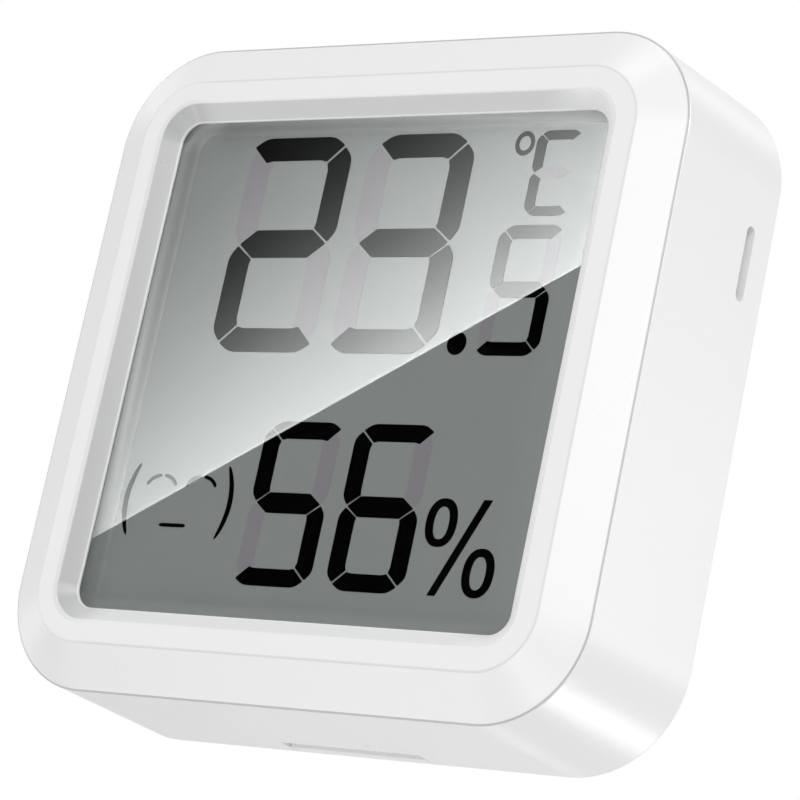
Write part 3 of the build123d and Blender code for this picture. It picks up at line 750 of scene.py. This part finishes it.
# Screws: zinc-plated steel, four for the board and four for the case. They are turned, so the
# heads show fine rings round each screw's middle.
def turned_steel(name, node, head):
    """Zinc plate with lathe rings: the four screws fall on one by taking offsets from the middle
    without sign, and rings follow the distance from that screw's middle, which lies a head's
    radius inside the box."""
    made, place = new_material(name)
    across, depth, height = place.parts()
    middle = middle_of(node)
    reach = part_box(node)[1] - middle
    side = (across - middle.x).size() - (reach.x - head)
    rise = (height - middle.z).size() - (reach.z - head)
    radius = (side**2 + rise**2) ** 0.5
    rings = (radius * (2 * np.pi / ring_pitch)).math("SINE") * 0.5 + 0.5
    stain = place.noise(0.6 * mm, 3.0)
    place.surface(
        Base_Color=(rings * 0.3 + stain * 0.7).tone((0.5, 0.51, 0.53), (0.72, 0.73, 0.75)),
        Metallic=1.0,
        Roughness=0.25 + 0.12 * rings + 0.12 * stain,
        Normal=rings.relief(0.002 * mm),
    )
    return made


ring_pitch = 0.09 * mm
dress(turned_steel("board_screw_zinc", "board_screws", 1.0 * mm), "board_screws")
dress(turned_steel("case_screw_zinc", "case_screws", 1.05 * mm), "case_screws")


# Vent membrane: white expanded PTFE, a felt of very fine fibres that lets air and no dust in.
# It is cut from sheet and glued over the vent slot from the inside.
felt, place = new_material("white_felt")
fibres = place.noise(0.06 * mm, 4.0, stretch=(1, 0.3, 1))
place.surface(
    Base_Color=fibres.tone((0.72, 0.72, 0.71), (0.88, 0.88, 0.87)),
    Roughness=0.85 + 0.1 * fibres,
    Normal=fibres.relief(0.02 * mm),
)
dress(felt, "vent_membrane")


# Coin cell: a drawn stainless can with a brushed flat back and a stamped plus, a seal of
# dark polypropylene, and a cap with the fine weave of its rolling.
cell_middle = middle_of("cell_can")
plus_rise = 5.2 * mm
plus_reach = 1.9 * mm
plus_half_width = 0.3 * mm
plus_blur = 0.05 * mm
brushed, place = new_material("brushed_can")
across, depth, height = place.parts()
side = across - cell_middle.x
rise = height - (cell_middle.z + plus_rise)
brush = place.noise(0.09 * mm, 3.0, stretch=(1, 1, 0.03))
haze = place.noise(4 * mm, 3.0)
arms = [
    thin.size().below(plus_half_width, plus_blur) * long.size().below(plus_reach, plus_blur)
    for thin, long in ((side, rise), (rise, side))
]
stamp = arms[0].math("MAXIMUM", arms[1])
place.surface(
    Base_Color=(brush * 0.5 + haze * 0.5).tone((0.56, 0.56, 0.56), (0.74, 0.74, 0.73)),
    Metallic=1.0,
    Roughness=0.2 + 0.16 * brush + 0.1 * haze + 0.1 * stamp,
    Normal=(1 - stamp).relief(0.05 * mm, brush.relief(0.003 * mm)),
)
dress(brushed, "cell_can")
seal_dark = satin_plastic("seal_dark", (0.035, 0.035, 0.04), (0.07, 0.07, 0.075), 0.1 * mm)
dress(seal_dark, "cell_seal")

cap_steel, place = new_material("woven_cap")
weave = woven(place, 0.12 * mm, 0.15)
place.surface(
    Base_Color=weave.tone((0.48, 0.48, 0.47), (0.7, 0.7, 0.69)),
    Metallic=1.0,
    Roughness=0.28 + 0.2 * weave,
    Normal=weave.relief(0.01 * mm),
)
dress(cap_steel, "cell_cap")


# Cell pad: grey open-cell foam, cut from sheet and glued to the inside of the back cover. It
# keeps the cell on its contacts.
pore_size = 0.35 * mm
foam, place = new_material("grey_foam")
values = {"Vector": place, "Scale": 1 / pore_size}
pores = place.node("ShaderNodeTexVoronoi", {"feature": "SMOOTH_F1"}, values, "Distance")
place.surface(
    Base_Color=pores.tone((0.05, 0.05, 0.055), (0.2, 0.2, 0.21)),
    Roughness=0.95 - 0.1 * pores,
    Normal=pores.relief(0.12 * mm),
)
dress(foam, "cell_pad")


# Studio: a pale floor below the object, white all round, soft lamps round the object, most of
# them from the right, and a card that only the display mirrors. The floor turns to plain white
# for the camera away from the object, and is open from below.
def square_corners(half):
    """Corners of a square round its middle, anticlockwise: the half side times -1 and 1."""
    return half * np.array([(-1, -1), (1, -1), (1, 1), (-1, 1)])


def single_face(name, points, material):
    """One square face through four points, shown in a material."""
    mesh = bpy.data.meshes.new(name)
    mesh.from_pydata(points.tolist(), [], [(0, 1, 2, 3)])
    mesh.materials.append(material)
    made = bpy.data.objects.new(name, mesh)
    bpy.context.scene.collection.objects.link(made)
    return made


floor_height = -0.15
floor_half = 1.5
floor_shade, place = new_material("pale_floor")
across, depth, height = place.parts()
reach = (across**2 + depth**2) ** 0.5
path = place.node("ShaderNodeLightPath", output="Is Camera Ray")
beneath = place.node("ShaderNodeNewGeometry", output="Backfacing")
paper = place.node("ShaderNodeBsdfDiffuse", {}, {"Color": (0.86, 0.86, 0.86, 1)})
glow = place.node("ShaderNodeEmission", {}, {"Color": (1, 1, 1, 1), "Strength": 1.0})
away = reach.above(0.3, 0.25) * path
fading = place.node("ShaderNodeMixShader", {}, {0: away, 1: paper, 2: glow})
open_air = place.node("ShaderNodeBsdfTransparent")
place.node("ShaderNodeMixShader", {}, {0: beneath, 1: fading, 2: open_air}).put_out()
points = np.insert(square_corners(floor_half), 2, floor_height, 1)
floor = single_face("floor", points, floor_shade)

# White as the camera, mirrors and the lens see it, and dimmer as it lights matt surfaces.
ambient = 0.470
world = bpy.data.worlds.new("white_room")
world.use_nodes = True
world.node_tree.nodes.clear()
room = Shade(world.node_tree)
seen = room.node("ShaderNodeLightPath", output="Is Camera Ray")
mirrored = room.node("ShaderNodeLightPath", output="Is Glossy Ray")
passed = room.node("ShaderNodeLightPath", output="Is Transmission Ray")
shown = seen.math("MAXIMUM", mirrored).math("MAXIMUM", passed)
level = shown * (1 - ambient) + ambient
glow = room.node("ShaderNodeBackground", {}, {"Color": (1, 1, 1, 1), "Strength": level})
room.node("ShaderNodeOutputWorld", {}, {"Surface": glow})
bpy.context.scene.world = world

# Soft boxes that face the object: where each stands, its side in metres and its power in watts.
for name, stand, side, power in (
    ("right_front_lamp", (0.283, -0.499, 0.198), 0.168, 0.522),
    ("right_top_lamp", (0.412, -0.315, 0.324), 0.168, 0.900),
    ("top_front_lamp", (-0.081, -0.323, 0.522), 0.168, 0.340),
    ("right_rear_lamp", (0.444, 0.396, 0.100), 0.168, 0.383),
    ("left_rear_lamp", (-0.457, 0.237, 0.332), 0.168, 0.361),
    ("left_lamp", (-0.590, -0.090, -0.034), 0.168, 0.162),
    ("top_rear_lamp", (0.055, 0.446, 0.420), 0.168, 0.069),
    ("low_front_lamp", (0.040, -0.223, -0.112), 0.074, 0.045),
    ("low_right_rear_lamp", (0.083, 0.159, -0.119), 0.064, 0.082),
    ("low_left_rear_lamp", (-0.115, 0.179, -0.114), 0.071, 0.013),
    ("low_left_lamp", (-0.106, -0.138, -0.120), 0.063, 0.031),
):
    lamp = bpy.data.lights.new(name, "AREA")
    lamp.size = side
    lamp.energy = power
    made = bpy.data.objects.new(name, lamp)
    made.location = stand
    made.rotation_euler = (display_middle - Vector(stand)).to_track_quat("-Z", "Y").to_euler()
    made.visible_camera = False
    bpy.context.scene.collection.objects.link(made)


# Camera: at the photograph's viewing angle, from the right and below, a little turned about its
# axis. It is made of where it stands and of its three directions.
viewpoint = Vector((0.136708, -0.179663, -0.035234))
to_right = Vector((0.812682, 0.546973, 0.200917))
to_foot = Vector((0.018611, 0.320260, -0.947147))
ahead = Vector((-0.582410, 0.773469, 0.250090))
camera_data = bpy.data.cameras.new("camera")
camera_data.sensor_width = 36.0
camera_data.lens = 158.04
camera = bpy.data.objects.new("camera", camera_data)
turn = Matrix((to_right, -to_foot, -ahead)).transposed()
camera.matrix_world = Matrix.Translation(viewpoint) @ turn.to_4x4()
camera_data.clip_start = 0.01
camera_data.clip_end = 10.0
bpy.context.scene.collection.objects.link(camera)
bpy.context.scene.camera = camera


# Card: it stands where the display mirrors the camera, pale above a slanted edge, which has a
# brighter line along it, and black below. From the camera's mirror image behind the film it is
# the film's square spread out, so a place on it goes back to one on the film by the same lines.
# Only rays that come through the lens and leave a sharp mirror see it.
card_distance = 0.2
card_half = 19.5 * mm
card_lift = 15.1
mirror_eye = np.array((viewpoint.x, 2 * film_depth - viewpoint.y, viewpoint.z))
card_spread = 1 + card_distance / (mirror_eye[1] - film_depth)
film_square = np.insert(square_corners(card_half), 1, 0, 1) + film_origin
points = mirror_eye + (film_square - mirror_eye) * card_spread
card_shade, place = new_material("mirrored_card")
across, depth, height = place.parts()
eye_aside, eye_up = mirror_eye[0] - display_middle.x, mirror_eye[2] - display_middle.z
film_aside = ((across - mirror_eye[0]) / card_spread + eye_aside) / mm
film_up = ((height - mirror_eye[2]) / card_spread + eye_up) / mm
sheen, over_edge = window_sheen(film_aside, film_up)
bright_line = 0.1 * over_edge.below(0.2, 0.05)
card_level = (sheen + bright_line) * over_edge.above(0.0, edge_blur)
card_tone = card_level.tone((0.0, 0.0, 0.0), mirror_tint)
glossy = place.node("ShaderNodeLightPath", output="Is Glossy Ray")
sharp = place.node("ShaderNodeLightPath", output="Is Singular Ray")
through_lens = place.node("ShaderNodeLightPath", output="Transparent Depth").above(1.5, 0.1)
bare = place.node("ShaderNodeBsdfTransparent")
light = place.node("ShaderNodeEmission", {}, {"Color": card_tone, "Strength": card_lift})
seen = glossy * sharp * through_lens
place.node("ShaderNodeMixShader", {}, {0: seen, 1: bare, 2: light}).put_out()
card = single_face("card", points, card_shade)

bpy.context.scene.view_settings.view_transform = "Standard"
